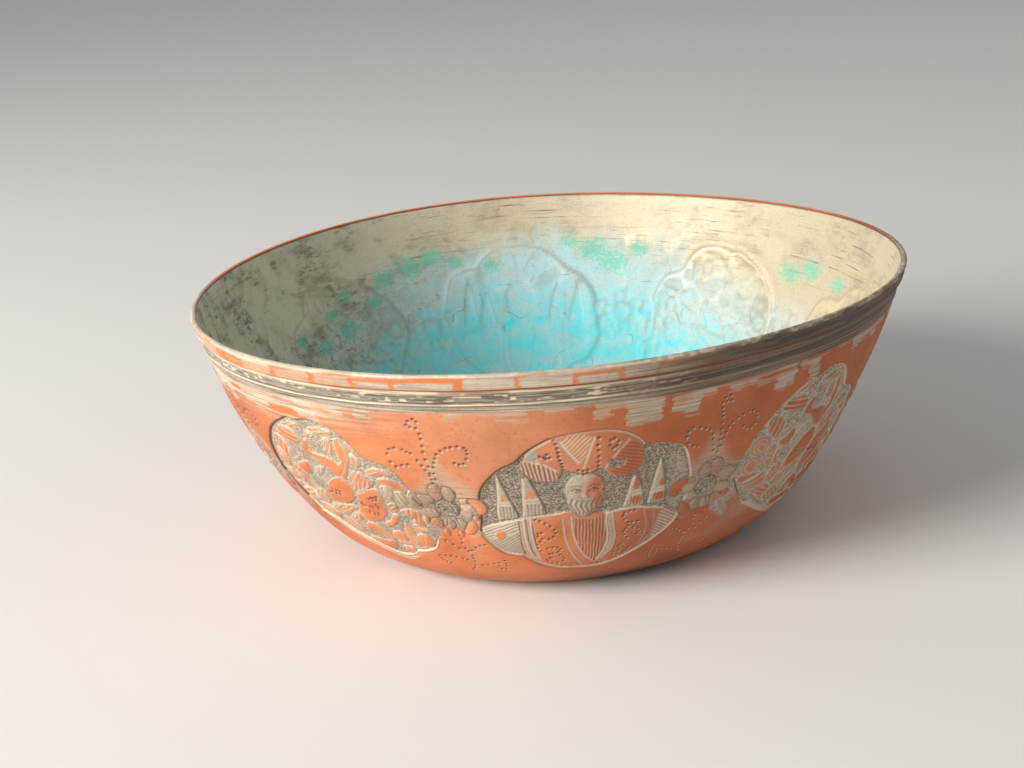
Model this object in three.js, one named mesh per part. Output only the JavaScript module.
// Engraved copper bowl: one raised copper sheet, tinned inside, with its edge folded out over the rim.
// Millimetres, +Z up. The origin is the centre of the flat underside.
import * as THREE from 'three';
import { mergeVertices } from 'three/addons/utils/BufferGeometryUtils.js';

// Overall sizes
const rimDiameter = 230; // across the outside of the folded rim, before the mouth's unevenness
const wallHeight = 82.5; // the wall curve's height at the lip
const baseDiameter = 122.6; // flat underside

// The wall curve runs from the base's edge to the lip as a quarter of a stretched circle
const wallBelly = 1.06; // below 1 the wall swells out low down, above 1 it stays drawn in there
const wallFlare = 1.75; // at 2 the wall still leans outwards at the lip, below 2 it turns upright there

// Metal
const sheetThickness = 1.0;
const tinThickness = 0.3; // the tin thins out to nothing at the fold

// Folded rim
const hemThickness = 0.9; // the folded edge is beaten thinner than the sheet
const hemDepth = 4.7; // from the wall curve's top down to the fold's lower edge
const sheetEdgeDrop = 0.9; // the sheet ends this far below the wall curve's top, inside the fold
const lipCrown = 0.9; // how far the rounded fold rises above the sheet's edge

// The mouth was raised by hand, so it is out of round and its lip rises and falls.
// Each entry is a gentle wave around the mouth: its number of lobes, its reach in mm and
// the direction in degrees, from +X towards +Y, of one of its lobes.
const mouthSpread = [
  { lobes: 3, reach: 1.9, toward: -3 },
  { lobes: 4, reach: 0.6, toward: -2 },
];
const mouthLift = [
  { lobes: 1, reach: 1.1, toward: -19 },
  { lobes: 2, reach: 0.75, toward: -95 },
  { lobes: 3, reach: 0.2, toward: 6 },
];
const unevennessGrowth = 1.5; // the waves fade to nothing at the base with this power of the height

// Medallions, beaten out of the wall in low relief. Each form is a rounded mound: how far it lies
// across from the medallion's middle and up the wall from the base's edge, its half width and half
// height, and how far it is raised. The forms of one medallion stand on its plate and add to it.
const drawnRadius = 100; // the places across are measured round a wall of this radius
const moundShoulder = 0.6; // the share of a mound that slopes, below 1 its middle is level
const medallions = [
  {
    directions: [-90, 0, 90, 180],
    forms: [
      { part: 'plate', across: 0.5, up: 53.5, halfWidth: 33, halfHeight: 31, raised: 0.3 },
      { part: 'robe', across: 0, up: 39, halfWidth: 30, halfHeight: 15, raised: 0.55 },
      { part: 'head', across: 0.7, up: 60, halfWidth: 8, halfHeight: 9.5, raised: 0.9 },
      { part: 'turban', across: 0.7, up: 74, halfWidth: 16, halfHeight: 8.5, raised: 0.55 },
    ],
  },
  {
    directions: [-133, -46, 45, 135],
    forms: [
      { part: 'plate', across: 0, up: 56, halfWidth: 31, halfHeight: 30, raised: 0.3 },
      { part: 'bird', across: 10.5, up: 52, halfWidth: 8.5, halfHeight: 9, raised: 0.7 },
      { part: 'wing', across: -1.5, up: 56, halfWidth: 8.5, halfHeight: 7, raised: 0.7 },
      { part: 'tall bud', across: 5, up: 71, halfWidth: 8, halfHeight: 9, raised: 0.7 },
      { part: 'top leaf', across: -11.5, up: 75.5, halfWidth: 7.5, halfHeight: 5, raised: 0.6 },
      { part: 'left flower', across: -20, up: 65, halfWidth: 7, halfHeight: 9, raised: 0.6 },
      { part: 'low leaf', across: -15, up: 47.5, halfWidth: 9, halfHeight: 6.5, raised: 0.6 },
      { part: 'stem', across: 5.5, up: 36.5, halfWidth: 7.5, halfHeight: 7.5, raised: 0.7 },
      { part: 'right flower', across: 21.5, up: 41, halfWidth: 7, halfHeight: 8.5, raised: 0.7 },
    ],
  },
];

// Facets
const facetsAround = 96;
const wallSteps = 17;
const hemSteps = 2;
const lipSteps = 6;

const rimRadius = rimDiameter / 2;
const wallMouthRadius = rimRadius - hemThickness;
const baseRadius = baseDiameter / 2;

// A point of the wall's outer curve, at an angle from 0 at the base's edge to a quarter turn at the lip
function wallPoint(angle) {
  const spread = Math.sin(angle) ** wallBelly;
  const rise = 1 - Math.cos(angle) ** wallFlare;
  return new THREE.Vector2(baseRadius + (wallMouthRadius - baseRadius) * spread, wallHeight * rise);
}

// The angle at which the wall curve is this far below its top
function angleBelowTop(drop) {
  return Math.acos((drop / wallHeight) ** (1 / wallFlare));
}

// The curve's direction, upwards, and the direction out of the metal, square to it
function wallTangent(angle) {
  const step = 0.001;
  const above = wallPoint(Math.min(angle + step, Math.PI / 2));
  const below = wallPoint(Math.max(angle - step, 0));
  return above.sub(below).normalize();
}

function wallNormal(angle) {
  const tangent = wallTangent(angle);
  return new THREE.Vector2(tangent.y, -tangent.x);
}

// A point at a depth into the metal from the wall's outer curve, or out of it where the depth is negative
function pointInWall(angle, depth) {
  return wallPoint(angle).addScaledVector(wallNormal(angle), -depth);
}

function anglesBetween(first, last, steps) {
  return Array.from({ length: steps + 1 }, (_, i) => first + ((last - first) * i) / steps);
}

// How far up the wall's outer curve a point lies, along the metal from the base's edge
function lengthUpWall(angle) {
  const path = anglesBetween(0, angle, 40).map(wallPoint);
  return path.slice(1).reduce((total, point, i) => total + point.distanceTo(path[i]), 0);
}

const hemFootAngle = angleBelowTop(hemDepth);
const sheetEdgeAngle = angleBelowTop(sheetEdgeDrop);
const openWallAngles = anglesBetween(0, hemFootAngle, wallSteps);
const hemAngles = anglesBetween(hemFootAngle, sheetEdgeAngle, hemSteps);
const wallAngles = [...openWallAngles, ...hemAngles.slice(1)];

// A profile is a list of corners. A corner in the wall knows where up the wall it is and which way the
// relief raises it, so that the relief goes through the whole thickness of the metal.
function plainCorner(point) {
  return { point, up: 0, outward: new THREE.Vector2() };
}

function wallCorner(angle, depth) {
  return { point: pointInWall(angle, depth), up: lengthUpWall(angle), outward: wallNormal(angle) };
}

// Profiles, drawn so that the metal is on the left of the direction of travel.
// The sheet runs at one thickness from the middle of the floor to its edge in the fold.
function sheetProfile() {
  const outside = wallAngles.map((angle) => wallCorner(angle, 0));
  const inside = wallAngles.map((angle) => wallCorner(angle, sheetThickness)).reverse();
  const underside = plainCorner(new THREE.Vector2(0, 0));
  const floor = plainCorner(new THREE.Vector2(0, sheetThickness));
  return [underside, ...outside, ...inside, floor];
}

// The tin lies on the inside of the sheet.
function tinProfile() {
  const tinDepth = sheetThickness + tinThickness;
  const onSheet = wallAngles.map((angle) => wallCorner(angle, sheetThickness));
  const face = wallAngles.slice(0, -1).map((angle) => wallCorner(angle, tinDepth)).reverse();
  const underside = plainCorner(new THREE.Vector2(0, sheetThickness));
  const floor = plainCorner(new THREE.Vector2(0, tinDepth));
  return [underside, ...onSheet, ...face, floor];
}

// The fold: up its outer face, over the crown, back along the edge of the sheet
// and down the outside of the sheet to its lower edge
function hemProfile() {
  const outside = hemAngles.map((angle) => pointInWall(angle, -hemThickness));
  const shoulder = outside.at(-1);
  const innerEdge = pointInWall(sheetEdgeAngle, sheetThickness);
  const crownCentre = shoulder.clone().add(innerEdge).multiplyScalar(0.5);
  const acrossLip = shoulder.clone().sub(crownCentre);
  const upLip = wallTangent(sheetEdgeAngle).multiplyScalar(lipCrown);
  const crown = anglesBetween(0, Math.PI, lipSteps).slice(1, -1).map((turn) => crownCentre.clone()
    .addScaledVector(acrossLip, Math.cos(turn))
    .addScaledVector(upLip, Math.sin(turn)));
  const againstSheet = hemAngles.map(wallPoint).reverse();
  return [...outside, ...crown, innerEdge, ...againstSheet, outside[0].clone()].map(plainCorner);
}

// How far a wave pushes at a direction around the mouth
function waveAt(waves, direction) {
  const push = ({ lobes, reach, toward }) => (
    reach * Math.cos(lobes * (direction - THREE.MathUtils.degToRad(toward)))
  );
  return waves.reduce((total, wave) => total + push(wave), 0);
}

// Moves each vertex with the mouth's unevenness
function shapeByHand(geometry) {
  const position = geometry.attributes.position;
  for (let i = 0; i < position.count; i += 1) {
    const x = position.getX(i);
    const y = position.getY(i);
    const z = position.getZ(i);
    const direction = Math.atan2(y, x);
    const growth = (Math.max(z, 0) / wallHeight) ** unevennessGrowth;
    const spread = 1 + (growth * waveAt(mouthSpread, direction)) / rimRadius;
    const lift = growth * waveAt(mouthLift, direction);
    position.setXYZ(i, x * spread, y * spread, z + lift);
  }
}

// How far a mound is raised at a place, from nothing at its edge to its full height
function moundAt(form, across, up) {
  const reach = ((across - form.across) / form.halfWidth) ** 2 + ((up - form.up) / form.halfHeight) ** 2;
  return form.raised * THREE.MathUtils.smoothstep(1 - reach, 0, moundShoulder);
}

// How far the medallions raise the wall at a direction and a length up it
function reliefAt(direction, up) {
  let raised = 0;
  medallions.forEach(({ directions, forms }) => {
    directions.forEach((toward) => {
      const away = direction - THREE.MathUtils.degToRad(toward);
      const turn = THREE.MathUtils.euclideanModulo(away + Math.PI, 2 * Math.PI) - Math.PI;
      const across = turn * drawnRadius;
      raised += forms.reduce((total, form) => total + moundAt(form, across, up), 0);
    });
  });
  return raised;
}

// Moves each vertex of a turned profile with the relief. The vertices come one profile after another.
function raiseMedallions(geometry, path) {
  const position = geometry.attributes.position;
  for (let i = 0; i < position.count; i += 1) {
    const { up, outward } = path[i % path.length];
    if (up > 0) {
      const direction = Math.atan2(position.getY(i), position.getX(i));
      const raised = reliefAt(direction, up);
      const x = position.getX(i) + raised * outward.x * Math.cos(direction);
      const y = position.getY(i) + raised * outward.x * Math.sin(direction);
      position.setXYZ(i, x, y, position.getZ(i) + raised * outward.y);
    }
  }
}

// The triangles between neighbouring profiles. Each four-cornered patch is split from its lower corner
// to the upper corner of the next profile, on both faces of the metal and on pieces that touch, so
// that their facets match.
function patchCorners(path) {
  const corners = [];
  for (let column = 0; column < facetsAround; column += 1) {
    for (let row = 0; row < path.length - 1; row += 1) {
      const a = column * path.length + row;
      const [b, c, d] = [a + path.length, a + path.length + 1, a + 1];
      const climbs = path[row + 1].point.y > path[row].point.y;
      corners.push(...(climbs ? [a, b, c, a, c, d] : [a, b, d, c, d, b]));
    }
  }
  return corners;
}

// Turns a profile about the Z axis into one closed solid
function turnedSolid(path) {
  const turned = new THREE.LatheGeometry(path.map((corner) => corner.point), facetsAround);
  turned.rotateX(Math.PI / 2);
  turned.deleteAttribute('normal');
  turned.deleteAttribute('uv');
  turned.setIndex(patchCorners(path));
  raiseMedallions(turned, path);
  const geometry = mergeVertices(turned, 1e-4);
  const corners = geometry.index.array;
  const kept = [];
  for (let i = 0; i < corners.length; i += 3) {
    const [a, b, c] = [corners[i], corners[i + 1], corners[i + 2]];
    if (a !== b && b !== c && c !== a) kept.push(a, b, c);
  }
  geometry.setIndex(kept);
  shapeByHand(geometry);
  geometry.computeVertexNormals();
  return geometry;
}

const copper = new THREE.MeshStandardMaterial({ color: 0xb4582b, roughness: 0.36, metalness: 1 });
const tin = new THREE.MeshStandardMaterial({ color: 0xa7a283, roughness: 0.5, metalness: 1 });
const wornCopper = new THREE.MeshStandardMaterial({ color: 0x9c5a35, roughness: 0.42, metalness: 1 });

// The raised sheet: wall and flat base in one
function copperShell() {
  const mesh = new THREE.Mesh(turnedSolid(sheetProfile()), copper);
  mesh.name = 'copper_shell';
  return mesh;
}

// The tin coat over the whole inside
function tinLining() {
  const mesh = new THREE.Mesh(turnedSolid(tinProfile()), tin);
  mesh.name = 'tin_lining';
  return mesh;
}

// The edge folded out and down over the top of the wall
function rimBand() {
  const mesh = new THREE.Mesh(turnedSolid(hemProfile()), wornCopper);
  mesh.name = 'rim_band';
  return mesh;
}

const bowl = new THREE.Group();
bowl.add(copperShell(), tinLining(), rimBand());

export default bowl;
